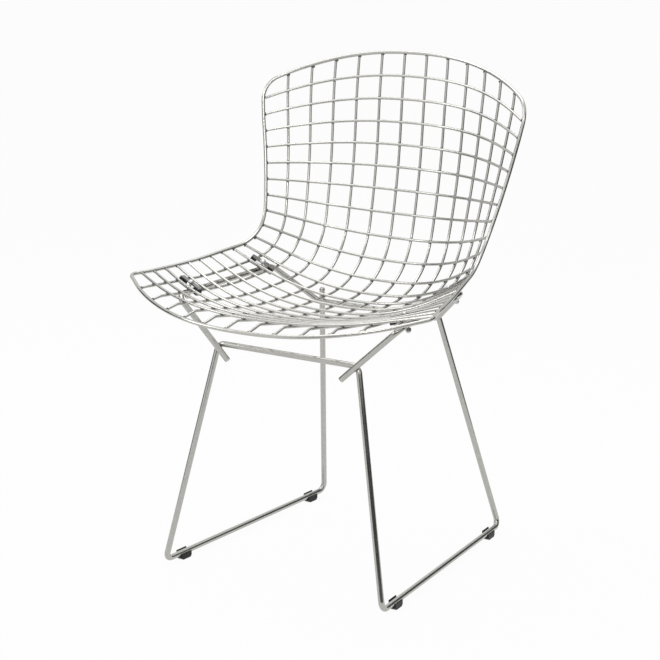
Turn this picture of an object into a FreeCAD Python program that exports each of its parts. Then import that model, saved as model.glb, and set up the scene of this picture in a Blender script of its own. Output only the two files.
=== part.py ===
import FreeCAD, Part
import math
import os

from FreeCAD import Placement, Rotation, Vector

# Wire mesh chair, free standing, in millimetres.
# +Z is up and the front of the seat faces -Y. All but the glides is symmetric about x = 0.
# The origin is on the floor, under the middle of the box that holds the whole chair.

DOC = FreeCAD.newDocument("WireMeshChair")
SHEET = DOC.addObject("Spreadsheet::Sheet", "Dimensions")

UP = Vector(0, 0, 1)
RIGHTWARD = Vector(1, 0, 0)
# Small share of the distance between two crosswise wires, for directions on the mesh
STEP = 0.02
# Smallest angle, in radians, that is bent as an arc
STRAIGHT = 1e-4
SIDES = {"left": -1, "right": 1}


# Driving dimensions

GENERAL = {
    # rods and wires
    "mesh_wire_diameter": 4.4,
    "rim_diameter": 6.0,
    "rod_diameter": 9.5,
    "weld_bite": 0.3,
    # numbers of wires in the mesh
    "lengthwise_count": 12,
    "crosswise_count": 20,
    # shape of the mesh between its centre line and its edge
    "crown_power": 2.3,
    "top_crowding": 0.09,
    "hip_crowding": 0.26,
    "crowding_power": 1.5,
    # front lip, where the mesh is folded down to the rim, measured from the fold
    "lip_centre_reach": 34.5,
    "lip_centre_drop": 8.5,
    "lip_edge_reach": 5.1,
    "lip_edge_rise": 0.5,
    "lip_edge_flare": 6,
    "fold_radius": 20,
    "top_corner_radius": 42,
    "front_corner_radius": 15,
    # leg frame
    "front_foot_x": 204.5,
    "front_foot_y": -178,
    "rear_foot_x": 175.5,
    "rear_foot_y": 257,
    "front_top_x": 129.5,
    "front_top_y": -126.5,
    "front_top_z": 373.5,
    "rear_top_x": 108.5,
    "rear_top_y": 145.5,
    "rear_top_z": 412,
    "foot_bend_radius": 12,
    "front_bend_radius": 14,
    "leg_end_rounding": 3.5,
    # rod that carries the seat
    "rear_joint_z": 391.5,
    "rear_joint_run": 2,
    "support_front_y": -131.5,
    "support_rear_y": 102.4,
    "support_front_radius": 14,
    "support_rear_radius": 20,
    "support_joint_radius": 16,
    "support_tail": 30,
    # clamps
    "front_clamp_row": 17.5,
    "rear_clamp_row": 11.6,
    "boot_width": 9,
    "boot_length": 11,
    "boot_height": 8.8,
    "boot_clearance": 0.2,
    "plate_width": 8,
    "plate_thickness": 2,
    "bolt_diameter": 4,
    "bolt_clearance": 0.2,
    "bolt_head_diameter": 8.5,
    "bolt_head_rim": 1.2,
    "bolt_head_dome": 2.6,
    "nut_width": 8,
    "nut_height": 4,
    "nut_dome": 3.6,
    "nut_thread_depth": 4.5,
    # glides
    "glide_length": 24,
    "glide_wall": 1.5,
    "glide_floor": 5.5,
    "glide_chamfer": 3,
    "glide_clearance": 0.1,
    "front_glide_setback": 46,
    "rear_glide_setback": 41,
}

# Stations of the mesh, from the top rim down the back and forward to the fold of the front lip:
# place, number of the crosswise wire there, centre line y and z, half width, edge y and z.
STATIONS = [
    ("top", 0, 265.5, 800, 249.8, 181.5, 742),
    ("upper_back", 4, 248, 648, 231.5, 160.5, 638),
    ("lower_back", 7, 228.5, 534.5, 216.5, 138.5, 561),
    ("hip", 9, 197, 459, 209.5, 115, 514.5),
    ("hip_bend", 10.5, 140.5, 423.5, 213.5, 81.5, 492),
    ("seat_rear", 12, 75, 415, 222, 45, 485.5),
    ("seat_middle", 15, -44, 417.5, 238.5, -25, 478),
    ("seat_front", 18, -152, 434, 256, -95.5, 474.5),
    ("fold", 20.6, -231, 449, 269.5, -156, 473.5),
]
STATION_COLUMNS = ("row", "centre_y", "centre_z", "half_width", "edge_y", "edge_z")


def fill_sheet():
    """Write every dimension as a named cell."""
    row = 1
    for alias, value in GENERAL.items():
        SHEET.set(f"A{row}", alias.replace("_", " "))
        SHEET.set(f"B{row}", str(value))
        SHEET.setAlias(f"B{row}", alias)
        row += 1
    for place, *values in STATIONS:
        SHEET.set(f"A{row}", place.replace("_", " "))
        for letter, column, value in zip("BCDEFG", STATION_COLUMNS, values):
            SHEET.set(f"{letter}{row}", str(value))
            SHEET.setAlias(f"{letter}{row}", f"{place}_{column}")
        row += 1
    DOC.recompute()


fill_sheet()


def size(alias):
    """The number in a named cell of the sheet."""
    return float(SHEET.get(alias))


WIRE_RADIUS = size("mesh_wire_diameter") / 2
RIM_RADIUS = size("rim_diameter") / 2
ROD_RADIUS = size("rod_diameter") / 2
WELD = size("weld_bite")
LENGTHWISE = int(size("lengthwise_count"))
CROSSWISE = int(size("crosswise_count"))

# Half of the distance between the centre lines of two mesh wires that cross and are welded
HALF_CROSSING = WIRE_RADIUS - WELD / 2
# Distance between the centre lines of two welded rods
ROD_SPACING = 2 * ROD_RADIUS - WELD
RUNNER_HEIGHT = size("glide_floor") + ROD_RADIUS


# The mesh surface

def station_curve(half_width, y, z):
    """Curve through one place of every station, counted in crosswise wires from the top rim."""
    points = []
    rows = []
    for place, *_ in STATIONS:
        x = size(f"{place}_{half_width}") if half_width else 0
        points.append(Vector(x, size(f"{place}_{y}"), size(f"{place}_{z}")))
        rows.append(size(f"{place}_row"))
    curve = Part.BSplineCurve()
    curve.interpolate(Points=points, Parameters=rows)
    return curve


CENTRE_LINE = station_curve(None, "centre_y", "centre_z")
EDGE_LINE = station_curve("half_width", "edge_y", "edge_z")
FOLD_ROW = size("fold_row")


def crowding(row):
    """How far the lengthwise wires crowd towards the edge at a row of the mesh."""
    hip = size("hip_row")
    if row < hip:
        share = row / hip
        return size("top_crowding") + share * (size("hip_crowding") - size("top_crowding"))
    return size("hip_crowding") * max(0, (FOLD_ROW - row) / (FOLD_ROW - hip))


def mirrored(point):
    return Vector(-point.x, point.y, point.z)


def between(centre, edge, across):
    """Point between the centre line and the edge: across is -1 at the left edge, 1 at the right."""
    rise = abs(across) ** size("crown_power")
    return Vector(
        across * edge.x,
        centre.y + (edge.y - centre.y) * rise,
        centre.z + (edge.z - centre.z) * rise,
    )


def mesh_point(across, row):
    """Point of the mesh surface."""
    spread = across * (1 + crowding(row) * (1 - across * across) ** size("crowding_power"))
    return between(CENTRE_LINE.value(row), EDGE_LINE.value(row), spread)


def lip_point(across):
    """Point of the front lip, over the rim."""
    centre = Vector(0, -size("lip_centre_reach"), -size("lip_centre_drop"))
    edge = Vector(size("lip_edge_flare"), -size("lip_edge_reach"), size("lip_edge_rise"))
    return between(CENTRE_LINE.value(FOLD_ROW) + centre, EDGE_LINE.value(FOLD_ROW) + edge, across)


def mesh_normal(across, row):
    """Unit normal of the mesh, towards the sitter."""
    inner = max(across - STEP, -1)
    outer = min(across + STEP, 1)
    along = mesh_point(across, row + STEP) - mesh_point(across, row - STEP)
    return along.cross(mesh_point(outer, row) - mesh_point(inner, row)).normalize()


def lengthwise_across(number):
    """Place of a lengthwise wire, from -1 to 1, counted from the left."""
    return (2 * number - LENGTHWISE - 1) / (LENGTHWISE + 1)


def beyond(end, before, length):
    """Point past the end of a line that comes from another point."""
    direction = end - before
    direction.normalize()
    return end + direction * length


# Swept rods and wires

def sweep_circle(name, path_shape, diameter):
    """A round rod along a path, with its diameter bound to the sheet."""
    path = DOC.addObject("Part::Feature", f"{name}_path")
    path.Shape = path_shape
    start = path_shape.OrderedEdges[0]
    section = DOC.addObject("Part::Circle", f"{name}_section")
    section.setExpression("Radius", f"Dimensions.{diameter} / 2")
    tangent = start.tangentAt(start.FirstParameter)
    section.Placement = Placement(start.valueAt(start.FirstParameter), Rotation(UP, tangent))
    rod = DOC.addObject("Part::Sweep", name)
    rod.Sections = [section]
    rod.Spine = (path, [f"Edge{number + 1}" for number in range(len(path_shape.Edges))])
    rod.Solid = True
    rod.Frenet = False
    rod.Label = name
    return rod


def with_mirror(name, half):
    """A half and its mirror image about the plane x = 0, joined as a named sub-part."""
    mirror = DOC.addObject("Part::Mirroring", f"{name}_mirror")
    mirror.Source = half
    mirror.Normal = RIGHTWARD
    whole = DOC.addObject("Part::MultiFuse", name)
    whole.Shapes = [half, mirror]
    whole.Label = name
    return whole


def arc_middle(start, way, end):
    """Middle of the arc that leaves a point in a unit direction and ends at another point."""
    chord = end - start
    aside = way - chord * (way.dot(chord) / chord.dot(chord))
    angle = way.getAngle(chord)
    if angle < STRAIGHT:
        return None
    return (start + end) * 0.5 + aside.normalize() * (chord.Length / 2 * math.tan(angle / 2))


def arc_edge(start, middle, end):
    if middle is None:
        return Part.makeLine(start, end)
    return Part.Arc(start, middle, end).toShape()


def two_arcs(start, start_way, end, end_way):
    """Two arcs that join two points and keep the unit direction at each of them."""
    chord = end - start
    reach = chord.dot(start_way + end_way)
    bend = 2 * (1 - start_way.dot(end_way))
    length = chord.dot(chord) / (reach + math.sqrt(reach ** 2 + bend * chord.dot(chord)))
    joint = (start + start_way * length + end - end_way * length) * 0.5
    return [
        arc_edge(start, arc_middle(start, start_way, joint), joint),
        arc_edge(joint, arc_middle(end, end_way * -1, joint), end),
    ]


def smooth_path(points, start_way=None, end_way=None):
    """Edges of a smooth chain of arcs through points."""
    curve = Part.BSplineCurve()
    if start_way:
        curve.interpolate(Points=points, InitialTangent=start_way, FinalTangent=end_way)
    else:
        curve.interpolate(Points=points)
    ways = [curve.tangent(curve.parameter(point))[0] for point in points]
    edges = []
    for number in range(len(points) - 1):
        edges += two_arcs(points[number], ways[number], points[number + 1], ways[number + 1])
    return edges


def corner_arc(before, corner, after, radius):
    """Arc that touches the lines from a corner to two points, with its end points and directions."""
    first_way = (before - corner).normalize()
    last_way = (after - corner).normalize()
    half_angle = first_way.getAngle(last_way) / 2
    reach = radius / math.tan(half_angle)
    first = corner + first_way * reach
    last = corner + last_way * reach
    bisector = (first_way + last_way).normalize()
    middle = corner + bisector * (radius / math.sin(half_angle) - radius)
    return Part.Arc(first, middle, last), (first, first_way * -1), (last, last_way)


def rim_half_edges():
    """Right half of the rod round the mesh, from the middle of the top to that of the lip."""
    outer = [lengthwise_across(wire) for wire in range(LENGTHWISE // 2 + 1, LENGTHWISE + 1)]
    top = [mesh_point(across, 0) for across in [0] + outer]
    side = [mesh_point(1, row) for row in range(2, CROSSWISE)]
    lip = [lip_point(across) for across in outer[::-1] + [0]]
    top_arc, top_end, side_start = corner_arc(
        top[-1], mesh_point(1, 0), side[0], size("top_corner_radius"))
    front_arc, side_end, lip_start = corner_arc(
        side[-1], lip_point(1), lip[0], size("front_corner_radius"))
    edges = smooth_path([*top, top_end[0]], RIGHTWARD, top_end[1])
    edges.append(top_arc.toShape())
    edges += smooth_path([side_start[0], *side, side_end[0]], side_start[1], side_end[1])
    edges.append(front_arc.toShape())
    return edges + smooth_path([lip_start[0], *lip], lip_start[1], RIGHTWARD * -1)


RIM_HALF = Part.Wire(rim_half_edges())


def rim():
    """The closed rod round the mesh, on which its wires end."""
    return with_mirror("rim", sweep_circle("rim_half", RIM_HALF, "rim_diameter"))


def end_on_rim(aim, before):
    """End of a wire that comes from a point and butts against the rim near an aim."""
    reflect = mirrored if aim.x < 0 else Vector
    vertex = Part.Vertex(reflect(aim))
    edge = min(RIM_HALF.Edges, key=lambda item: item.distToShape(vertex)[0])
    contact = edge.distToShape(vertex)[1][0][0]
    rim_way = reflect(edge.tangentAt(edge.Curve.parameter(contact)))
    contact = reflect(contact)
    slant = abs((before - contact).normalize().dot(rim_way))
    distance = (RIM_RADIUS - WELD + WIRE_RADIUS * slant) / math.sqrt(1 - slant ** 2)
    return beyond(contact, before, -distance)


def fold_distance(across):
    """Length of a lengthwise wire between the last crosswise wire and the fold of the lip."""
    return (mesh_point(across, FOLD_ROW) - mesh_point(across, CROSSWISE)).Length


def lengthwise_wire(number):
    """One wire from the top rim, down the back, over the seat and down the front lip."""
    across = lengthwise_across(number)
    points = []
    for row in range(1, CROSSWISE + 1):
        points.append(mesh_point(across, row) - mesh_normal(across, row) * HALF_CROSSING)
    points.insert(0, end_on_rim(mesh_point(across, 0), points[0]))
    edges = smooth_path(points)
    last = edges[-1]
    way = last.tangentAt(last.LastParameter)
    end = lip_point(across)
    fold = points[-1] + way * fold_distance(across)
    bend, (first, _), (second, _) = corner_arc(points[-1], fold, end, size("fold_radius"))
    edges += [Part.makeLine(points[-1], first), bend.toShape()]
    edges.append(Part.makeLine(second, end_on_rim(end, second)))
    return sweep_circle(f"lengthwise_wire_{number:02d}", Part.Wire(edges), "mesh_wire_diameter")


def crosswise_wire(number):
    """One wire from the left edge of the rim to the right edge, on the sitter's side."""
    points = []
    for wire in range(1, LENGTHWISE + 1):
        across = lengthwise_across(wire)
        points.append(mesh_point(across, number) + mesh_normal(across, number) * HALF_CROSSING)
    points.insert(0, end_on_rim(mesh_point(-1, number), points[0]))
    points.append(end_on_rim(mesh_point(1, number), points[-1]))
    path = Part.Wire(smooth_path(points))
    return sweep_circle(f"crosswise_wire_{number:02d}", path, "mesh_wire_diameter")


def rounded_path(points, radii):
    """Straight lines through points, with an arc of its own radius at each inner point."""
    edges = []
    start = points[0]
    for before, corner, after, radius in zip(points, points[1:], points[2:], radii):
        arc, (first, _), (last, _) = corner_arc(before, corner, after, radius)
        edges += [Part.makeLine(start, first), arc.toShape()]
        start = last
    edges.append(Part.makeLine(start, points[-1]))
    return Part.Wire(edges)


# Leg frame: rear leg, runner, front leg, cross bar and the same again

REAR_TOP = Vector(-size("rear_top_x"), size("rear_top_y"), size("rear_top_z"))
REAR_FOOT = Vector(-size("rear_foot_x"), size("rear_foot_y"), RUNNER_HEIGHT)
FRONT_FOOT = Vector(-size("front_foot_x"), size("front_foot_y"), RUNNER_HEIGHT)
FRONT_TOP = Vector(-size("front_top_x"), size("front_top_y"), size("front_top_z"))


def leg_frame():
    left = [REAR_TOP, REAR_FOOT, FRONT_FOOT, FRONT_TOP]
    points = left + [mirrored(point) for point in reversed(left)]
    foot = size("foot_bend_radius")
    front = size("front_bend_radius")
    path = rounded_path(points, [foot, foot, front, front, foot, foot])
    rod = sweep_circle("leg_frame_rod", path, "rod_diameter")
    DOC.recompute()
    ends = []
    for number, edge in enumerate(rod.Shape.Edges, start=1):
        middle = edge.CenterOfMass
        if (middle - REAR_TOP).Length < WELD or (middle - mirrored(REAR_TOP)).Length < WELD:
            ends.append((number, size("leg_end_rounding"), size("leg_end_rounding")))
    rounded = DOC.addObject("Part::Fillet", "leg_frame")
    rounded.Base = rod
    rounded.Edges = ends
    rounded.Label = "leg_frame"
    return rounded


# Clamps: local frames on the mesh, between its two outer lengthwise wires

def clamp_frame(side, row):
    """Middle of a clamp, its axes outward, forward and up, and the two wires that it holds."""
    held = []
    for wire in (LENGTHWISE, LENGTHWISE - 1):
        across = SIDES[side] * lengthwise_across(wire)
        centre = mesh_point(across, row) - mesh_normal(across, row) * HALF_CROSSING
        ahead = mesh_point(across, row + STEP) - mesh_point(across, row - STEP)
        held.append((centre, ahead.normalize()))
    (outer, outer_way), (inner, inner_way) = held
    outward = (outer - inner).normalize()
    up = outward.cross(outer_way + inner_way).normalize()
    if up.z < 0:
        up = up * -1
    forward = up.cross(outward).normalize()
    return (outer + inner) * 0.5, Rotation(outward, forward, up, "ZXY"), held


CLAMPS = {}
for clamp_side in SIDES:
    CLAMPS[f"front_{clamp_side}"] = clamp_frame(clamp_side, size("front_clamp_row"))
    CLAMPS[f"rear_{clamp_side}"] = clamp_frame(clamp_side, size("rear_clamp_row"))

PLATE_BASE = size("boot_height") / 2
BAR_DROP = PLATE_BASE + size("plate_thickness") + ROD_RADIUS
HOLE_REACH = BAR_DROP + 2 * ROD_RADIUS


def local(clamp, x=0, y=0, z=0, flipped=False):
    """Placement at a place given in a clamp's own axes: outward, forward and up."""
    middle, turn, _ = CLAMPS[clamp]
    if flipped:
        return Placement(middle + turn.multVec(Vector(x, y, z)), turn * Rotation(RIGHTWARD, 180))
    return Placement(middle + turn.multVec(Vector(x, y, z)), turn)


def bind(item, sizes):
    """Bind properties of an object to expressions on the sheet."""
    for name, expression in sizes.items():
        item.setExpression(name, expression)
    return item


def cut(name, base, tools):
    """Base less one or more tools, as a named sub-part."""
    tool = tools[0]
    if len(tools) > 1:
        tool = DOC.addObject("Part::MultiFuse", f"{name}_tools")
        tool.Shapes = tools
    result = DOC.addObject("Part::Cut", name)
    result.Base = base
    result.Tool = tool
    result.Label = name
    return result


def bolt_hole(clamp):
    """Clearance hole along a clamp's axis, through the plates and the rod."""
    hole = DOC.addObject("Part::Cylinder", f"bolt_hole_{clamp}")
    bind(hole, {
        "Radius": "Dimensions.bolt_diameter / 2 + Dimensions.bolt_clearance",
        "Height": "Dimensions.boot_height + 2 * Dimensions.plate_thickness + 3 * Dimensions.rod_diameter",
    })
    hole.Placement = local(clamp, z=-HOLE_REACH)
    return hole


def clamp_plate(clamp, level):
    """Flat bar over or under the two held wires."""
    (outer, _), (inner, _) = CLAMPS[clamp][2]
    length = (outer - inner).Length + size("boot_width")
    name = f"{level}_plate_{clamp}"
    plate = DOC.addObject("Part::Box", f"{name}_bar")
    plate.Length = length
    bind(plate, {"Width": "Dimensions.plate_width", "Height": "Dimensions.plate_thickness"})
    base = PLATE_BASE if level == "upper" else -PLATE_BASE - size("plate_thickness")
    plate.Placement = local(clamp, -length / 2, -size("plate_width") / 2, base)
    return cut(name, plate, [bolt_hole(clamp)])


def clamp_boots(clamp):
    """The pair of soft blocks round the two held wires."""
    boots = []
    _, turn, held = CLAMPS[clamp]
    for place, (centre, way) in zip(("outer", "inner"), held):
        name = f"{place}_boot_{clamp}"
        block = DOC.addObject("Part::Box", f"{name}_block")
        bind(block, {
            "Length": "Dimensions.boot_width",
            "Width": "Dimensions.boot_length",
            "Height": "Dimensions.boot_height",
        })
        corner = Vector(size("boot_width"), size("boot_length"), size("boot_height")) * -0.5
        block.Placement = Placement(centre + turn.multVec(corner), turn)
        bore = DOC.addObject("Part::Cylinder", f"{name}_bore")
        bind(bore, {
            "Radius": "Dimensions.mesh_wire_diameter / 2 + Dimensions.boot_clearance",
            "Height": "2 * Dimensions.boot_length",
        })
        bore.Placement = Placement(centre - way * size("boot_length"), Rotation(UP, way))
        boots.append(cut(name, block, [bore]))
    pair = DOC.addObject("Part::Compound", f"boots_{clamp}")
    pair.Links = boots
    pair.Label = f"boots_{clamp}"
    return pair


def clamp_bolt(clamp):
    """Bolt with a domed head, from the upper plate down through the rod into its nut."""
    top = PLATE_BASE + size("plate_thickness")
    head = DOC.addObject("Part::Cylinder", f"bolt_head_{clamp}")
    bind(head, {"Radius": "Dimensions.bolt_head_diameter / 2", "Height": "Dimensions.bolt_head_rim"})
    head.Placement = local(clamp, z=top)
    dome = DOC.addObject("Part::Ellipsoid", f"bolt_dome_{clamp}")
    bind(dome, {"Radius1": "Dimensions.bolt_head_dome", "Radius2": "Dimensions.bolt_head_diameter / 2"})
    dome.Radius3 = 0
    dome.Angle1 = 0
    dome.Placement = local(clamp, z=top + size("bolt_head_rim"))
    shank = DOC.addObject("Part::Cylinder", f"bolt_shank_{clamp}")
    length = top + BAR_DROP + ROD_RADIUS + size("nut_thread_depth") - size("bolt_clearance")
    shank.Height = length
    bind(shank, {"Radius": "Dimensions.bolt_diameter / 2"})
    shank.Placement = local(clamp, z=top - length)
    bolt = DOC.addObject("Part::MultiFuse", f"bolt_{clamp}")
    bolt.Shapes = [head, dome, shank]
    return bolt


def clamp_nut(clamp):
    """Domed nut under the rod."""
    top = -BAR_DROP - ROD_RADIUS
    body = DOC.addObject("Part::Prism", f"nut_body_{clamp}")
    body.Polygon = 6
    bind(body, {"Circumradius": "Dimensions.nut_width / sqrt(3)", "Height": "Dimensions.nut_height"})
    body.Placement = local(clamp, z=top, flipped=True)
    dome = DOC.addObject("Part::Ellipsoid", f"nut_dome_{clamp}")
    bind(dome, {"Radius1": "Dimensions.nut_dome", "Radius2": "Dimensions.nut_width / 2"})
    dome.Radius3 = 0
    dome.Angle1 = 0
    dome.Placement = local(clamp, z=top - size("nut_height"), flipped=True)
    solid = DOC.addObject("Part::MultiFuse", f"nut_solid_{clamp}")
    solid.Shapes = [body, dome]
    thread = DOC.addObject("Part::Cylinder", f"nut_thread_{clamp}")
    bind(thread, {
        "Radius": "Dimensions.bolt_diameter / 2 + Dimensions.bolt_clearance",
        "Height": "Dimensions.nut_thread_depth",
    })
    thread.Placement = local(clamp, z=top, flipped=True)
    return cut(f"nut_{clamp}", solid, [thread])


def group(name, items):
    """Identical fasteners as separate solids of one sub-part."""
    result = DOC.addObject("Part::Compound", name)
    result.Links = items
    result.Label = name
    return result


# Seat support: tail, side bar, diagonal and rear cross bar, and the same again

def on_line(first, second, y):
    """Point of the line through two points at a given y."""
    share = (y - first.y) / (second.y - first.y)
    return first + (second - first) * share


def facing_front(first, second):
    """Unit direction square to two others, on the side of the chair's front."""
    direction = first.cross(second).normalize()
    return direction * -1 if direction.y > 0 else direction


def bend_middle(before, corner, after, radius):
    """Middle of a bend in a rod's centre line."""
    arc, _, _ = corner_arc(before, corner, after, radius)
    return arc.value((arc.FirstParameter + arc.LastParameter) / 2)


def support_tail(front_bend):
    """Free end of the rod, past its weld to the bend at the top of the left front leg."""
    weld = bend_middle(FRONT_FOOT, FRONT_TOP, mirrored(FRONT_TOP), size("front_bend_radius"))
    weld += facing_front(FRONT_FOOT - FRONT_TOP, RIGHTWARD) * ROD_SPACING
    return beyond(weld, front_bend, size("support_tail"))


def support_joint(rear_bend):
    """Corner of the rear cross bar, where its bend is welded in front of the left rear leg."""
    leg = REAR_TOP - REAR_FOOT
    ahead = facing_front(leg, RIGHTWARD)
    share = (size("rear_joint_z") - REAR_FOOT.z) / leg.z
    joint = REAR_FOOT + leg * share + ahead * ROD_SPACING - RIGHTWARD * size("rear_joint_run")
    middle = bend_middle(rear_bend, joint, mirrored(joint), size("support_joint_radius"))
    return joint + ahead * (joint - middle).dot(ahead)


def seat_support():
    front = local("front_left", z=-BAR_DROP).Base
    rear = local("rear_left", z=-BAR_DROP).Base
    front_bend = on_line(front, rear, size("support_front_y"))
    rear_bend = on_line(front, rear, size("support_rear_y"))
    left = [support_tail(front_bend), front_bend, rear_bend, support_joint(rear_bend)]
    points = left + [mirrored(point) for point in reversed(left)]
    radii = [size(f"support_{place}_radius") for place in ("front", "rear", "joint")]
    rod = sweep_circle("seat_support_rod", rounded_path(points, radii + radii[::-1]), "rod_diameter")
    return cut("seat_support", rod, [bolt_hole(clamp) for clamp in CLAMPS])


# Glides: soft blocks clipped under the runners

def glide(name, foot, far, setback):
    """Block with a channel for the runner, a high wall on its left and a low one on its right."""
    way = (far - foot).normalize()
    centre = foot + way * setback
    forward = way if way.y > 0 else way * -1
    turn = Rotation(forward, UP.cross(forward), UP, "ZXY")
    floor = Vector(centre.x, centre.y, 0)

    def place(item, x, y, z):
        item.Placement = Placement(floor + turn.multVec(Vector(x, y, z)), turn)
        return item

    half_length = size("glide_length") / 2
    channel_radius = ROD_RADIUS + size("glide_clearance")
    half_width = channel_radius + size("glide_wall")
    block = DOC.addObject("Part::Box", f"{name}_block")
    bind(block, {
        "Length": "Dimensions.glide_length",
        "Width": "Dimensions.rod_diameter + 2 * (Dimensions.glide_clearance + Dimensions.glide_wall)",
        "Height": "Dimensions.glide_floor + Dimensions.rod_diameter",
    })
    place(block, -half_length, -half_width, 0)
    DOC.recompute()
    bottom_ends = []
    for number, edge in enumerate(block.Shape.Edges, start=1):
        level = edge.BoundBox.ZMax < WELD
        if level and abs(edge.Length - 2 * half_width) < WELD:
            bottom_ends.append((number, size("glide_chamfer"), size("glide_chamfer")))
    chamfered = DOC.addObject("Part::Chamfer", f"{name}_chamfered")
    chamfered.Base = block
    chamfered.Edges = bottom_ends
    channel = DOC.addObject("Part::Cylinder", f"{name}_channel")
    bind(channel, {
        "Radius": "Dimensions.rod_diameter / 2 + Dimensions.glide_clearance",
        "Height": "2 * Dimensions.glide_length",
    })
    channel.Placement = Placement(
        floor + UP * RUNNER_HEIGHT - forward * size("glide_length"), Rotation(UP, forward))
    mouth = DOC.addObject("Part::Box", f"{name}_mouth")
    bind(mouth, {
        "Length": "2 * Dimensions.glide_length",
        "Width": "2 * Dimensions.rod_diameter + 2 * Dimensions.glide_clearance",
        "Height": "2 * Dimensions.rod_diameter",
    })
    place(mouth, -size("glide_length"), channel_radius - 2 * (ROD_RADIUS + channel_radius), RUNNER_HEIGHT)
    return cut(name, chamfered, [channel, mouth])


# All sub-parts

def build():
    parts = [rim()]
    parts += [lengthwise_wire(number) for number in range(1, LENGTHWISE + 1)]
    parts += [crosswise_wire(number) for number in range(1, CROSSWISE + 1)]
    parts += [leg_frame(), seat_support()]
    for clamp in CLAMPS:
        parts.append(clamp_plate(clamp, "upper"))
        parts.append(clamp_plate(clamp, "lower"))
        parts.append(clamp_boots(clamp))
    parts.append(group("clamp_bolts", [clamp_bolt(clamp) for clamp in CLAMPS]))
    parts.append(group("clamp_nuts", [clamp_nut(clamp) for clamp in CLAMPS]))
    for side, reflect in (("left", Vector), ("right", mirrored)):
        front = reflect(FRONT_FOOT)
        rear = reflect(REAR_FOOT)
        parts.append(glide(f"glide_front_{side}", front, rear, size("front_glide_setback")))
        parts.append(glide(f"glide_rear_{side}", rear, front, size("rear_glide_setback")))
    return parts


PARTS = build()
DOC.recompute()

for item in DOC.Objects:
    for problem in ("Invalid", "Error"):
        if problem in item.State:
            raise RuntimeError(f"{item.Label} is {problem}")
for part in PARTS:
    if part.Shape.isNull() or not part.Shape.isValid() or not part.Shape.Solids:
        raise RuntimeError(f"{part.Label} has no valid solid")

os.makedirs("parts", exist_ok=True)
for part in PARTS:
    part.Shape.exportStep(f"parts/{part.Label}.step")
    box = part.Shape.BoundBox
    print(f"{part.Label}: {len(part.Shape.Solids)} solid, volume {part.Shape.Volume:.0f} mm3, "
          f"z {box.ZMin:.1f} to {box.ZMax:.1f}")
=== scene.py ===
# %% [markdown]
# # A wire mesh chair
#
# The real chair is a bucket of welded steel wires inside a thicker rim, clamped to a base that is
# bent from solid rod. Everything metal is chrome plated. Four black glides clip under the runners
# and soft black blocks keep the clamps from marking the mesh.
#
# The CAD model already holds every rod and wire at its true size, so this script loads it as a
# fixed frame. What Blender adds is what the eye looks for: the welds, the small hardware, the
# finishes, and a white studio that chrome can mirror.

import math
import bpy
import numpy as np
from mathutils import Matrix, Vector
from mathutils.bvhtree import BVHTree
from mathutils.geometry import intersect_ray_tri
from mathutils.kdtree import KDTree


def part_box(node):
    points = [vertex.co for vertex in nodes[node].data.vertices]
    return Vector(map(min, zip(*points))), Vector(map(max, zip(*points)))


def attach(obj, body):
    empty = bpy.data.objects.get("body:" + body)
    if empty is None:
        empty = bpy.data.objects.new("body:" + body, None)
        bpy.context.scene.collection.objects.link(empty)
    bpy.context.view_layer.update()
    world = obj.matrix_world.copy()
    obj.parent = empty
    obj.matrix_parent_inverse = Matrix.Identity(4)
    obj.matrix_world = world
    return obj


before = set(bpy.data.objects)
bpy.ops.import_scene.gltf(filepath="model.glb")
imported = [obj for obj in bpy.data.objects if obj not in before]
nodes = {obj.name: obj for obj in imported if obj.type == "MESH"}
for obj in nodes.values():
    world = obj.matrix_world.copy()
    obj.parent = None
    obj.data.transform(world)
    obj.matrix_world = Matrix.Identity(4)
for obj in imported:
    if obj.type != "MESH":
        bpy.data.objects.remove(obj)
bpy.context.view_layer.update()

# %% [markdown]
# ## The camera
#
# A photograph is matched from the camera backwards: the same place, the same tilt and the same
# lens make every rod land where it does in the picture. The place was solved once from points of
# the chair that mirror each other. The lens is long, which is why the runners look nearly
# parallel. It is set before anything else so that each later step can be judged by eye.

# %% Set up the camera
CAMERA_PLACE = (1.67615, -2.66412, 1.20086)
CAMERA_TURN = (math.radians(75.468), 0, math.radians(32.196))
CAMERA_LENS = 110.954
SENSOR_WIDTH = 36
CHAIR_MIDDLE = Vector((0, 0, 0.45))

camera_data = bpy.data.cameras.new("studio_camera")
camera_data.lens = CAMERA_LENS
camera_data.sensor_width = SENSOR_WIDTH
camera = bpy.data.objects.new("studio_camera", camera_data)
camera.location = CAMERA_PLACE
camera.rotation_euler = CAMERA_TURN
bpy.context.scene.collection.objects.link(camera)
bpy.context.scene.camera = camera
bpy.context.scene.view_settings.view_transform = "Standard"
print("camera to the chair's middle:", round((camera.location - CHAIR_MIDDLE).length, 2), "m")

# %% [markdown]
# ## Nodes by name
#
# Finishes and Geometry Nodes are both built from nodes in code. Three short helpers add a node
# with its settings, set the plain values that never change, and link two sockets. The others
# start a material and give it what every finish here needs: a noise pattern, a range of values,
# a blend of two colours, and fine relief.

# %% Helpers for node trees
def add_node(tree, kind, **settings):
    """A new node with some of its properties set."""
    node = tree.nodes.new(kind)
    for name, value in settings.items():
        setattr(node, name, value)
    return node


def set_inputs(node, **values):
    """Plain values on a node's own sockets, named with underscores for blanks."""
    for name, value in values.items():
        node.inputs[name.replace("_", " ")].default_value = value
    return node


def join(tree, source, target):
    """A link from an output socket to an input socket."""
    tree.links.new(source, target)


def start_finish(name):
    """A material with its shader, and the place on the object in metres."""
    material = bpy.data.materials.new(name)
    material.use_nodes = True
    tree = material.node_tree
    place = add_node(tree, "ShaderNodeTexCoord").outputs["Object"]
    return material, tree, tree.nodes["Principled BSDF"], place


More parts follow.
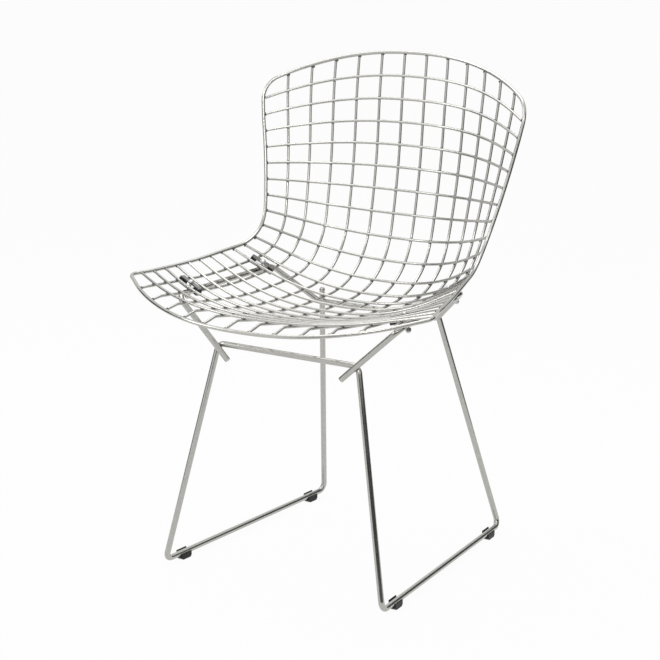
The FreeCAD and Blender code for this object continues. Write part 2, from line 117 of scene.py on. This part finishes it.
def cloud(tree, place, scale, detail=3.0, roughness=0.55):
    """A noise pattern whose size is one over its scale, in metres."""
    noise = add_node(tree, "ShaderNodeTexNoise")
    set_inputs(noise, Scale=scale, Detail=detail, Roughness=roughness)
    join(tree, place, noise.inputs["Vector"])
    return noise.outputs["Fac"]


def spread(tree, pattern, low, high, start=0.35, end=0.65):
    """Stretches the middle of a pattern over a range of values."""
    step = add_node(tree, "ShaderNodeMapRange")
    set_inputs(step, From_Min=start, From_Max=end, To_Min=low, To_Max=high)
    join(tree, pattern, step.inputs["Value"])
    return step.outputs["Result"]


def blend_colours(tree, share, first, second):
    """A colour between two others."""
    mix = add_node(tree, "ShaderNodeMix", data_type="RGBA")
    join(tree, share, mix.inputs["Factor"])
    mix.inputs["A"].default_value = (*first, 1)
    mix.inputs["B"].default_value = (*second, 1)
    return mix.outputs["Result"]


def press_relief(tree, shader, pattern, strength, distance):
    """Fine relief on a surface, without new geometry."""
    bump = add_node(tree, "ShaderNodeBump")
    set_inputs(bump, Strength=strength, Distance=distance)
    join(tree, pattern, bump.inputs["Height"])
    join(tree, bump.outputs["Normal"], shader.inputs["Normal"])


print("helpers ready")

# %% [markdown]
# ## Chrome plate
#
# Chrome has hardly any colour of its own. It is a metal (Metallic 1), slightly darker than a
# mirror, and it shows whatever stands around it. Two things keep it from looking like a computer
# mirror: the plate is a little cloudy, so its roughness drifts over a few centimetres, and the
# steel under it was drawn through a die, which leaves a very fine grain. The thin mesh wires are
# polished less than the heavy rods of the base, so they get a finish of their own.

# %% Chrome for the mesh and for the base
# Noise scales are one over a size in metres: haze of 4 cm, stains of 5 mm, grain under 1 mm
HAZE_SCALE = 26
STAIN_SCALE = 210
GRAIN_SCALE = 1300


def chrome(name, dark, light, smooth, dull, grain):
    """Chrome plate whose tone and roughness drift slowly over the metal."""
    material, tree, shader, place = start_finish(name)
    set_inputs(shader, Metallic=1.0)
    haze = cloud(tree, place, HAZE_SCALE, 4)
    stain = cloud(tree, place, STAIN_SCALE, 5, 0.7)
    join(tree, spread(tree, haze, smooth, dull), shader.inputs["Roughness"])
    tone = blend_colours(tree, spread(tree, stain, 0, 1), dark, light)
    join(tree, tone, shader.inputs["Base Color"])
    press_relief(tree, shader, cloud(tree, place, GRAIN_SCALE, 2), grain, 0.0002)
    return material


wire_chrome = chrome("wire_chrome", (0.45, 0.445, 0.42), (0.52, 0.515, 0.49), 0.16, 0.26, 0.04)
rod_chrome = chrome("rod_chrome", (0.42, 0.416, 0.392), (0.48, 0.475, 0.45), 0.14, 0.20, 0.03)
print("chrome finishes:", wire_chrome.name, rod_chrome.name)

# %% [markdown]
# ## Clamp metal, weld metal and black plastic
#
# The clamp bars are stamped steel with a dark plate that isn't polished, so they keep a soft sheen
# and faint blotches. The bolts and nuts are a brighter plate of the same kind. A weld is duller
# than the rod beside it, because heat roughens the steel and the plate can't level it. It is also
# coloured much darker than the rod: partly real scorch, partly painted shade where the wires and
# rods meet.
# The blocks and glides are moulded nylon: nearly black, with the fine dimples of a spark-eroded
# mould and patches that turn a little grey with wear.

# %% The other finishes
def plating(name, dark, light):
    """Unpolished plate on stamped steel."""
    material, tree, shader, place = start_finish(name)
    set_inputs(shader, Metallic=1.0)
    blotch = cloud(tree, place, 330, 4, 0.6)
    join(tree, spread(tree, blotch, 0.22, 0.38), shader.inputs["Roughness"])
    tone = blend_colours(tree, spread(tree, blotch, 0, 1), dark, light)
    join(tree, tone, shader.inputs["Base Color"])
    press_relief(tree, shader, cloud(tree, place, 2200, 3), 0.2, 0.0002)
    return material


def weld_metal_and_painted_shade():
    """Dull, slightly scorched steel under the plate, with painted shade at the joins."""
    material, tree, shader, place = start_finish("weld_metal_and_painted_shade")
    set_inputs(shader, Metallic=1.0)
    scorch = cloud(tree, place, 420, 4, 0.65)
    join(tree, spread(tree, scorch, 0.28, 0.5), shader.inputs["Roughness"])
    # Painted shade: both weld tones are far darker than the chrome and stand for the shade where
    # wires and rods meet, on top of some real scorch.
    burnt_in_painted_shade, bare_in_painted_shade = (0.07, 0.07, 0.07), (0.20, 0.20, 0.195)
    tone = blend_colours(tree, spread(tree, scorch, 0, 1), burnt_in_painted_shade, bare_in_painted_shade)
    join(tree, tone, shader.inputs["Base Color"])
    press_relief(tree, shader, cloud(tree, place, 1500, 3), 0.5, 0.0004)
    return material


def moulded_nylon():
    """Black nylon with the grain of its mould."""
    material, tree, shader, place = start_finish("moulded_nylon")
    set_inputs(shader, IOR=1.5, Specular_IOR_Level=0.3)
    wear = cloud(tree, place, 160, 4, 0.6)
    join(tree, spread(tree, wear, 0.38, 0.56), shader.inputs["Roughness"])
    fresh, worn = (0.005, 0.005, 0.0055), (0.014, 0.014, 0.015)
    tone = blend_colours(tree, spread(tree, wear, 0, 1), fresh, worn)
    join(tree, tone, shader.inputs["Base Color"])
    press_relief(tree, shader, cloud(tree, place, 1900, 2), 0.35, 0.0004)
    return material


bar_plating = plating("bar_plating", (0.17, 0.17, 0.168), (0.27, 0.27, 0.265))
bolt_plating = plating("bolt_plating", (0.50, 0.50, 0.50), (0.64, 0.64, 0.64))
weld_and_painted_shade = weld_metal_and_painted_shade()
nylon_finish = moulded_nylon()
small_finishes = (bar_plating, bolt_plating, weld_and_painted_shade, nylon_finish)
print("small finishes:", [finish.name for finish in small_finishes])

# %% [markdown]
# ## Dress the CAD parts
#
# The CAD meshes already have the right shape and smooth normals, so they stay as they are. A
# material is put into the object's own slots, which leaves the mesh data untouched. The slot name
# that came with the part says which finish each node takes. Only the bolts and nuts differ from
# the rest of their slot.

# %% Give every node its finish
FINISH_OF_SLOT = {
    "mesh_chrome": wire_chrome,
    "base_chrome": rod_chrome,
    "clamp_metal": bar_plating,
    "black_plastic": nylon_finish,
}
for name, item in nodes.items():
    for slot in item.material_slots:
        slot.link = "OBJECT"
        slot.material = FINISH_OF_SLOT[item.data.materials[0].name]
for name in ("clamp_bolts", "clamp_nuts"):
    for slot in nodes[name].material_slots:
        slot.material = bolt_plating
print("dressed", len(nodes), "nodes")

# %% [markdown]
# ## Where the wires cross
#
# Two hundred and forty crossings are resistance welded: the machine squeezes two wires together
# and sends a current through them, and a little steel is pushed out between them. To put a nugget
# on each one we need its place and the direction in which the wires are stacked. Both can be read
# from the frame. A KD tree finds, for every point of a lengthwise wire, the nearest point of any
# crosswise wire, and the closest pair of each couple of wires is their weld.

# %% Find the crossings
def mesh_points(name):
    """Points and outward directions of a CAD node."""
    vertices = nodes[name].data.vertices
    return [(vertex.co.copy(), vertex.normal.copy()) for vertex in vertices]


def tree_of(points):
    """A KD tree of a list of points."""
    tree = KDTree(len(points))
    for number, (place, _) in enumerate(points):
        tree.insert(place, number)
    tree.balance()
    return tree


lengthwise = sorted(name for name in nodes if name.startswith("lengthwise_wire"))
crosswise = sorted(name for name in nodes if name.startswith("crosswise_wire"))
crosswise_points = []
crosswise_owner = []
for name in crosswise:
    points = mesh_points(name)
    crosswise_points += points
    crosswise_owner += [name] * len(points)
crosswise_tree = tree_of(crosswise_points)

WELD_REACH = 0.0015
crossings = {}
for name in lengthwise:
    for place, outward in mesh_points(name):
        other, number, distance = crosswise_tree.find(place)
        key = (name, crosswise_owner[number])
        if distance < crossings.get(key, (WELD_REACH,))[0]:
            stacked = (outward - crosswise_points[number][1]).normalized()
            crossings[key] = (distance, (place + other) / 2, stacked)
print("crossings found:", len(crossings), "of", len(lengthwise) * len(crosswise))

# %% [markdown]
# ## Where the wires end
#
# Each wire butts against the rim with a small collar of weld. Its ring of points nearest to the
# rim gives the middle of that collar, and the direction from there to the middle of the rim's rod
# tells which way the wire arrives. The two ends of a wire are told apart by side for a crosswise
# wire, and by height for a lengthwise one.

# %% Find the wire ends
rim_points = mesh_points("rim")
rim_tree = tree_of(rim_points)
END_REACH = 0.0016
RIM_REACH = 0.0062
HALF_WAY_UP = 0.6

wire_ends = []
for name in lengthwise + crosswise:
    along_x = name in crosswise
    near = {False: [], True: []}
    for place, _ in mesh_points(name):
        if rim_tree.find(place)[2] < END_REACH:
            near[place.x > 0 if along_x else place.z > HALF_WAY_UP].append(place)
    for places in near.values():
        middle = sum(places, Vector()) / len(places)
        rim_ring = [found[0] for found in rim_tree.find_range(middle, RIM_REACH)]
        rim_middle = sum(rim_ring, Vector()) / len(rim_ring)
        wire_ends.append((middle, (rim_middle - middle).normalized()))
print("wire ends found:", len(wire_ends))

# %% [markdown]
# ## A tree that sets nuggets on points
#
# One Geometry Nodes tree serves all the welds of the mesh. It takes a cloud of points that carry
# a direction, puts a small flattened ball on each with its short axis along that direction, and
# varies the size a little from a fixed seed, because no two welds are alike. The ball has only a
# few dozen faces, since it is repeated hundreds of times. The tree ends in Realize Instances, so
# that real geometry comes out, and Set Material. Steps that later trees need too are functions.

# %% Build the nugget tree
def start_tree(name, sizes):
    """A modifier tree with a geometry in, named sizes, and a geometry out."""
    tree = bpy.data.node_groups.new(name, "GeometryNodeTree")
    tree.is_modifier = True
    sockets = tree.interface
    sockets.new_socket("Geometry", in_out="INPUT", socket_type="NodeSocketGeometry")
    for label, value in sizes.items():
        size_socket = sockets.new_socket(label, in_out="INPUT", socket_type="NodeSocketFloat")
        size_socket.default_value = value
    sockets.new_socket("Seed", in_out="INPUT", socket_type="NodeSocketInt")
    sockets.new_socket("Geometry", in_out="OUTPUT", socket_type="NodeSocketGeometry")
    given = add_node(tree, "NodeGroupInput").outputs
    return tree, given, add_node(tree, "NodeGroupOutput").inputs


def smooth_ball(tree, kind, **sizes):
    """A ball of radius one with smooth shading."""
    ball = set_inputs(add_node(tree, kind), Radius=1.0, **sizes)
    smooth = add_node(tree, "GeometryNodeSetShadeSmooth")
    join(tree, ball.outputs["Mesh"], smooth.inputs["Geometry"])
    return smooth.outputs["Geometry"]


def point_direction(tree):
    """The direction that the points carry."""
    node = add_node(tree, "GeometryNodeInputNamedAttribute", data_type="FLOAT_VECTOR")
    node.inputs["Name"].default_value = "stacked"
    return node.outputs["Attribute"]


def turn_to(tree, axis, direction):
    """A rotation that lays one axis along a direction."""
    turn = add_node(tree, "FunctionNodeAlignRotationToVector", axis=axis)
    join(tree, direction, turn.inputs["Vector"])
    return turn.outputs["Rotation"]


def beside_one(tree, operation, amount):
    """One less or one more a given amount."""
    node = add_node(tree, "ShaderNodeMath", operation=operation)
    node.inputs[0].default_value = 1
    join(tree, amount, node.inputs[1])
    return node.outputs[0]


def random_size(tree, given, both_ways):
    """A number near one for each point, smaller by up to the variation, or also larger."""
    luck = add_node(tree, "FunctionNodeRandomValue", data_type="FLOAT")
    join(tree, beside_one(tree, "SUBTRACT", given["Variation"]), luck.inputs[2])
    luck.inputs[3].default_value = 1.0
    if both_ways:
        join(tree, beside_one(tree, "ADD", given["Variation"]), luck.inputs[3])
    join(tree, given["Seed"], luck.inputs["Seed"])
    return luck.outputs[1]


def place_copies(tree, points, shape, rotation, scale=None):
    """One copy of a shape on every point."""
    place = add_node(tree, "GeometryNodeInstanceOnPoints")
    join(tree, points, place.inputs["Points"])
    join(tree, shape, place.inputs["Instance"])
    join(tree, rotation, place.inputs["Rotation"])
    if scale is not None:
        join(tree, scale, place.inputs["Scale"])
    return place.outputs["Instances"]


def end_tree(tree, copies, finish, result):
    """Real geometry instead of copies, with its finish."""
    real = add_node(tree, "GeometryNodeRealizeInstances")
    join(tree, copies, real.inputs["Geometry"])
    coat = add_node(tree, "GeometryNodeSetMaterial")
    coat.inputs["Material"].default_value = finish
    join(tree, real.outputs["Geometry"], coat.inputs["Geometry"])
    join(tree, coat.outputs["Geometry"], result["Geometry"])
    return tree


def nugget_tree(name, finish):
    """Flattened balls on points, with their short axis along the points' own direction."""
    sizes = {"Nugget Radius": 0.003, "Nugget Height": 0.0015, "Variation": 0.15}
    tree, given, result = start_tree(name, sizes)
    ball = smooth_ball(tree, "GeometryNodeMeshUVSphere", Segments=10, Rings=6)
    proportions = add_node(tree, "ShaderNodeCombineXYZ")
    join(tree, given["Nugget Radius"], proportions.inputs["X"])
    join(tree, given["Nugget Radius"], proportions.inputs["Y"])
    join(tree, given["Nugget Height"], proportions.inputs["Z"])
    scaled = add_node(tree, "ShaderNodeVectorMath", operation="SCALE")
    join(tree, proportions.outputs["Vector"], scaled.inputs["Vector"])
    join(tree, random_size(tree, given, both_ways=True), scaled.inputs["Scale"])
    turn = turn_to(tree, "Z", point_direction(tree))
    copies = place_copies(tree, given["Geometry"], ball, turn, scaled.outputs["Vector"])
    return end_tree(tree, copies, finish, result)


nugget_nodes = nugget_tree("weld_nuggets", weld_and_painted_shade)
print("tree:", nugget_nodes.name, "with", len(nugget_nodes.nodes), "nodes")

# %% [markdown]
# ## From tree to mesh
#
# A modifier on a cloud of points runs the tree. Its inputs are set by the identifiers of their
# sockets before the object is first evaluated. The evaluated result is then copied into a plain
# mesh on an object of its own, the modifier's object is removed, and the new piece rides on the
# chair like any CAD part.

# %% Helpers that turn a tree into a piece
def show(name, mesh):
    """An object for a mesh, in the scene."""
    item = bpy.data.objects.new(name, mesh)
    bpy.context.scene.collection.objects.link(item)
    return item


def points_for(name, spots, edges=(), directions=None):
    """An object of points for a tree, joined by edges or with a direction each."""
    mesh = bpy.data.meshes.new(name)
    mesh.from_pydata([tuple(spot) for spot in spots], edges, [])
    if directions is not None:
        layer = mesh.attributes.new("stacked", "FLOAT_VECTOR", "POINT")
        layer.data.foreach_set("vector", np.array(directions, np.float32).ravel())
    return show(name, mesh)


def grow(source, tree, sizes, seed=0):
    """Runs a tree on an object and returns its result as a plain mesh piece of the same name."""
    name = source.name
    modifier = source.modifiers.new(tree.name, "NODES")
    modifier.node_group = tree
    inputs = [item for item in tree.interface.items_tree if item.in_out == "INPUT"]
    identifiers = {item.name: item.identifier for item in inputs}
    modifier[identifiers["Seed"]] = seed
    for label, value in sizes.items():
        modifier[identifiers[label]] = value
    evaluated = source.evaluated_get(bpy.context.evaluated_depsgraph_get())
    mesh = bpy.data.meshes.new_from_object(evaluated)
    bpy.data.objects.remove(source)
    mesh.name = name
    return show(name, mesh)


def hand_in(piece):
    """The piece rides on the chair, and its number of faces is printed."""
    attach(piece, "root")
    print(piece.name, "faces:", len(piece.data.polygons))


print("a new piece takes the name of the points it grows on")

# %% [markdown]
# ## Weld the mesh
#
# The same tree runs twice: once on the crossings, and once on the wire ends, where the collars
# are a little smaller and sit just short of the wire's end, in the corner between wire and rim.

# %% Set nuggets on the crossings and collars on the rim
spots = [spot for _, spot, _ in crossings.values()]
ways = [way for _, _, way in crossings.values()]
crossing_welds = grow(
    points_for("crossing_welds", spots, directions=ways),
    nugget_nodes,
    {"Nugget Radius": 0.0033, "Nugget Height": 0.0019, "Variation": 0.14},
    seed=11,
)
hand_in(crossing_welds)

END_SET_BACK = 0.0004
spots = [spot - way * END_SET_BACK for spot, way in wire_ends]
ways = [way for _, way in wire_ends]
rim_welds = grow(
    points_for("rim_welds", spots, directions=ways),
    nugget_nodes,
    {"Nugget Radius": 0.0031, "Nugget Height": 0.0017, "Variation": 0.12},
    seed=5,
)
hand_in(rim_welds)

# %% [markdown]
# ## Where the rods are welded
#
# The rod that carries the seat is laid against the leg frame at four places and welded there by
# hand. The crossings were found from points, but a straight rod has points only at its ends, so
# here the faces are asked. A BVH tree lists the pairs of faces that cut each other, and the
# places where the edges of one go through the other lie round each seam. Their middle, and the
# way in which the two rods are stacked there, are enough to lay a closed ring round the seam.

# %% Find the four seams
SEAM_RADIUS = 0.0034
SEAM_STEPS = 24


def triangles_of(name):
    """Points, faces and face directions of a CAD node."""
    mesh = nodes[name].data
    points = [vertex.co.copy() for vertex in mesh.vertices]
    faces = [tuple(face.vertices) for face in mesh.polygons]
    return points, faces, [face.normal.copy() for face in mesh.polygons]


def edge_hits(edges_of, through):
    """Places where the edges of one triangle go through another."""
    hits = []
    for number, start in enumerate(edges_of):
        edge = edges_of[(number + 1) % 3] - start
        hit = intersect_ray_tri(*through, edge, start)
        if hit and 0 <= (hit - start).dot(edge) <= edge.length_squared:
            hits.append(hit)
    return hits


rod_points, rod_faces, rod_ways = triangles_of("seat_support")
leg_points, leg_faces, leg_ways = triangles_of("leg_frame")
rod_tree = BVHTree.FromPolygons(rod_points, rod_faces)
seams = {}
for rod_face, leg_face in rod_tree.overlap(BVHTree.FromPolygons(leg_points, leg_faces)):
    rod_triangle = [rod_points[number] for number in rod_faces[rod_face]]
    leg_triangle = [leg_points[number] for number in leg_faces[leg_face]]
    for hit in edge_hits(rod_triangle, leg_triangle) + edge_hits(leg_triangle, rod_triangle):
        places, ways = seams.setdefault((hit.x > 0, hit.y > 0), ([], []))
        places.append(hit)
        ways.append(rod_ways[rod_face] - leg_ways[leg_face])
seam_points = []
seam_edges = []
for places, ways in seams.values():
    middle = sum(places, Vector()) / len(places)
    stacked = sum(ways, Vector()).normalized()
    aside = stacked.orthogonal().normalized()
    across = stacked.cross(aside)
    first = len(seam_points)
    for step in range(SEAM_STEPS):
        turn = 2 * math.pi * step / SEAM_STEPS
        outward = aside * math.cos(turn) + across * math.sin(turn)
        seam_points.append(middle + outward * SEAM_RADIUS)
        seam_edges.append((first + step, first + (step + 1) % SEAM_STEPS))
    print("seam at", [round(c, 3) for c in middle], "from", len(places), "hits")

# %% [markdown]
# ## Weld the rods
#
# A hand weld is a row of overlapping ripples that follows the seam. This tree takes the closed
# seam lines, divides them evenly by a named spacing, and sets a small ball at every step. The
# spacing is less than a ball's radius, so the balls melt into one bead.

# %% Build the ripple tree and weld the rods
def ripple_tree(name, finish):
    """Overlapping balls at even steps along a seam line."""
    sizes = {"Ripple Radius": 0.0016, "Ripple Spacing": 0.0012, "Variation": 0.12}
    tree, given, result = start_tree(name, sizes)
    line = add_node(tree, "GeometryNodeMeshToCurve")
    join(tree, given["Geometry"], line.inputs["Mesh"])
    steps = add_node(tree, "GeometryNodeResampleCurve", mode="LENGTH")
    join(tree, line.outputs["Curve"], steps.inputs["Curve"])
    join(tree, given["Ripple Spacing"], steps.inputs["Length"])
    ball = smooth_ball(tree, "GeometryNodeMeshIcoSphere", Subdivisions=2)
    sized = add_node(tree, "ShaderNodeMath", operation="MULTIPLY")
    join(tree, random_size(tree, given, both_ways=False), sized.inputs[0])
    join(tree, given["Ripple Radius"], sized.inputs[1])
    turn = turn_to(tree, "X", add_node(tree, "GeometryNodeInputTangent").outputs["Tangent"])
    copies = place_copies(tree, steps.outputs["Curve"], ball, turn, sized.outputs[0])
    return end_tree(tree, copies, finish, result)


rod_welds = grow(
    points_for("rod_welds", seam_points, seam_edges),
    ripple_tree("weld_ripples", weld_and_painted_shade),
    {"Ripple Radius": 0.0017, "Ripple Spacing": 0.0013, "Variation": 0.15},
    seed=3,
)
hand_in(rod_welds)

# %% [markdown]
# ## Washers
#
# Each clamp bolt has a thin washer under its head, which spreads the load on the plate. Its place
# and tilt come from the bolt's own mesh: a bolt is longest along its axis, so the main direction
# of its points, which a singular value decomposition gives, is that axis.

# %% Measure the bolts
def upward_axis(points):
    """Upward direction of a long thin group of points."""
    rows = np.array([tuple(point) for point in points])
    _, _, directions = np.linalg.svd(rows - rows.mean(0), full_matrices=False)
    return Vector(directions[0]) * (1 if directions[0][2] > 0 else -1)


def by_corner(name):
    """Points of a CAD node of four fasteners, one list for each corner of the seat."""
    low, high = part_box(name)
    half = (low.y + high.y) / 2
    found = {}
    for place, _ in mesh_points(name):
        found.setdefault((place.x > 0, place.y > half), []).append(place)
    return found


WASHER_DEPTH = 0.0008
HEAD_HEIGHT = 0.0038  # from the top of the bolt to the washer's underside
washer_spots = []
washer_ways = []
for places in by_corner("clamp_bolts").values():
    way = upward_axis(places)
    on_axis = sum(places, Vector()) / len(places)
    top = max((place - on_axis).dot(way) for place in places)
    washer_spots.append(on_axis + way * (top - HEAD_HEIGHT + WASHER_DEPTH / 2))
    washer_ways.append(way)
print("bolt directions:", [[round(c, 2) for c in way] for way in washer_ways])

# %% [markdown]
# ## A tree that sweeps rings
#
# A washer is a flat ring, so it is swept: a small rectangle with rounded corners follows a circle,
# and the ring is set on the points where the bolts are, square to each bolt.

# %% Build the washer tree and add the washers
def washer_tree(name, finish):
    """Flat rings on points, square to the points' own direction."""
    sizes = {"Ring Radius": 0.0045, "Ring Width": 0.0014, "Ring Depth": 0.0008}
    tree, given, result = start_tree(name, sizes)
    circle = set_inputs(add_node(tree, "GeometryNodeCurvePrimitiveCircle"), Resolution=32)
    join(tree, given["Ring Radius"], circle.inputs["Radius"])
    section = add_node(tree, "GeometryNodeCurvePrimitiveQuadrilateral")
    join(tree, given["Ring Width"], section.inputs["Width"])
    join(tree, given["Ring Depth"], section.inputs["Height"])
    rounded = add_node(tree, "GeometryNodeFilletCurve", mode="POLY")
    set_inputs(rounded, Radius=0.0002, Count=2)
    join(tree, section.outputs["Curve"], rounded.inputs["Curve"])
    ring = add_node(tree, "GeometryNodeCurveToMesh")
    join(tree, circle.outputs["Curve"], ring.inputs["Curve"])
    join(tree, rounded.outputs["Curve"], ring.inputs["Profile Curve"])
    turn = turn_to(tree, "Z", point_direction(tree))
    copies = place_copies(tree, given["Geometry"], ring.outputs["Mesh"], turn)
    return end_tree(tree, copies, finish, result)


washers = grow(
    points_for("clamp_washers", washer_spots, directions=washer_ways),
    washer_tree("washer_rings", bolt_plating),
    {"Ring Radius": 0.0044, "Ring Width": 0.0018, "Ring Depth": WASHER_DEPTH},
)
hand_in(washers)

# %% [markdown]
# ## The studio
#
# The photograph has a pure white ground. The floor and the world both answer Light Path: a camera
# ray, and a mirror ray that leaves the chrome, see plain white at a strength of 1, while the light
# that falls on the chair stays at a plain level. The floor keeps part of its real shading, so that
# the chair still has a faint contact shadow.

# %% World and floor
def white_for_mirrors(tree):
    """One for camera, glossy and transmission rays, and zero for the rest."""
    path = add_node(tree, "ShaderNodeLightPath")
    first = add_node(tree, "ShaderNodeMath", operation="MAXIMUM")
    join(tree, path.outputs["Is Camera Ray"], first.inputs[0])
    join(tree, path.outputs["Is Glossy Ray"], first.inputs[1])
    second = add_node(tree, "ShaderNodeMath", operation="MAXIMUM")
    join(tree, first.outputs[0], second.inputs[0])
    join(tree, path.outputs["Is Transmission Ray"], second.inputs[1])
    return second.outputs[0]


WORLD_LIGHT = 0.55
world = bpy.data.worlds.new("studio")
bpy.context.scene.world = world
world.use_nodes = True
sky = world.node_tree
soft = set_inputs(sky.nodes["Background"], Color=(1, 1, 1, 1), Strength=WORLD_LIGHT)
ground_white = set_inputs(add_node(sky, "ShaderNodeBackground"), Color=(1, 1, 1, 1), Strength=1.0)
choice = add_node(sky, "ShaderNodeMixShader")
join(sky, white_for_mirrors(sky), choice.inputs["Fac"])
join(sky, soft.outputs[0], choice.inputs[1])
join(sky, ground_white.outputs[0], choice.inputs[2])
join(sky, choice.outputs[0], sky.nodes["World Output"].inputs["Surface"])

FLOOR_GLOW = 0.95
floor_material = bpy.data.materials.new("paper_floor")
floor_material.use_nodes = True
paper = floor_material.node_tree
matte = paper.nodes["Principled BSDF"]
set_inputs(matte, Base_Color=(0.82, 0.82, 0.82, 1), Roughness=0.9, Specular_IOR_Level=0.0)
glow = set_inputs(add_node(paper, "ShaderNodeEmission"), Color=(1, 1, 1, 1), Strength=1.0)
share = add_node(paper, "ShaderNodeMath", operation="MULTIPLY")
share.inputs[1].default_value = FLOOR_GLOW
join(paper, white_for_mirrors(paper), share.inputs[0])
mixed = add_node(paper, "ShaderNodeMixShader")
join(paper, share.outputs[0], mixed.inputs["Fac"])
join(paper, matte.outputs[0], mixed.inputs[1])
join(paper, glow.outputs[0], mixed.inputs[2])
join(paper, mixed.outputs[0], paper.nodes["Material Output"].inputs["Surface"])


def flat_sheet(name, corners, material):
    """A flat four-sided sheet of the studio, which isn't part of the chair."""
    mesh = bpy.data.meshes.new(name)
    mesh.from_pydata(corners, [], [(0, 1, 2, 3)])
    mesh.materials.append(material)
    item = show(name, mesh)
    return item


FLOOR_REACH = 25
SQUARE = ((-1, -1), (1, -1), (1, 1), (-1, 1))
flat_sheet("floor", [(x * FLOOR_REACH, y * FLOOR_REACH, 0) for x, y in SQUARE], floor_material)
print("floor glow:", FLOOR_GLOW, "world light:", WORLD_LIGHT)

# %% [markdown]
# ## What the chrome mirrors
#
# White all round would make chrome look like grey paint. What draws a rod is contrast, and in the
# photograph that comes from the dark room behind the camera and to both sides. Dark walls out of
# the picture stand for it, and only mirror rays see them. A leg that leans towards the camera
# mirrors a wall and gets a dark stripe, a leg that leans away mirrors the white floor and stays
# light, and each runner has a dark line along its middle.

# %% Dark walls that only mirrors see
WALL_COLOUR = (0.11, 0.11, 0.11, 1)
WALL_STEPS = 24
wall_material = bpy.data.materials.new("dark_wall")
wall_material.use_nodes = True
wall_shader = wall_material.node_tree.nodes["Principled BSDF"]
set_inputs(wall_shader, Base_Color=WALL_COLOUR, Roughness=1.0)


def dark_wall(name, first_bearing, last_bearing, distance, low, high):
    """A curved upright wall round the chair. Bearings count from the camera's, to the right."""
    points = []
    for step in range(WALL_STEPS + 1):
        bearing = first_bearing + (last_bearing - first_bearing) * step / WALL_STEPS
        angle = math.radians(bearing - 90) + CAMERA_TURN[2]
        x = math.cos(angle) * distance
        y = math.sin(angle) * distance
        points += [(x, y, low), (x, y, high)]
    faces = [(2 * n, 2 * n + 2, 2 * n + 3, 2 * n + 1) for n in range(WALL_STEPS)]
    mesh = bpy.data.meshes.new(name)
    mesh.from_pydata(points, [], faces)
    mesh.materials.append(wall_material)
    wall = show(name, mesh)
    wall.visible_camera = False
    wall.visible_diffuse = False
    wall.visible_shadow = False
    return wall


room_wall = dark_wall("room_wall", -34, 60, 1.4, 0.0, 0.6)
right_wall = dark_wall("right_wall", 58, 135, 1.6, 0.0, 1.25)
left_wall = dark_wall("left_wall", -122, -86, 1.6, 0.0, 1.2)
print("dark walls:", room_wall.name, right_wall.name, left_wall.name)

# %% [markdown]
# ## Lamps
#
# Three square soft boxes light the welds, the nylon and the floor, and give each rod its thin
# bright line. The widest hangs overhead and the strongest for its size stands beside the camera.

# %% Hang the soft boxes
def soft_box(name, place, aim, size, power):
    """A square lamp turned towards a point."""
    data = bpy.data.lights.new(name, "AREA")
    data.shape = "SQUARE"
    data.size = size
    data.energy = power
    lamp = bpy.data.objects.new(name, data)
    lamp.location = place
    lamp.rotation_euler = (aim - Vector(place)).to_track_quat("-Z", "Y").to_euler()
    bpy.context.scene.collection.objects.link(lamp)
    return lamp


soft_box("overhead_box", (-0.4, 0.4, 2.6), CHAIR_MIDDLE, 1.6, 22)
soft_box("left_box", (-2.2, -1.6, 1.9), CHAIR_MIDDLE, 1.0, 14)
soft_box("key_box", (1.5, -3.3, 2.4), CHAIR_MIDDLE, 0.9, 18)
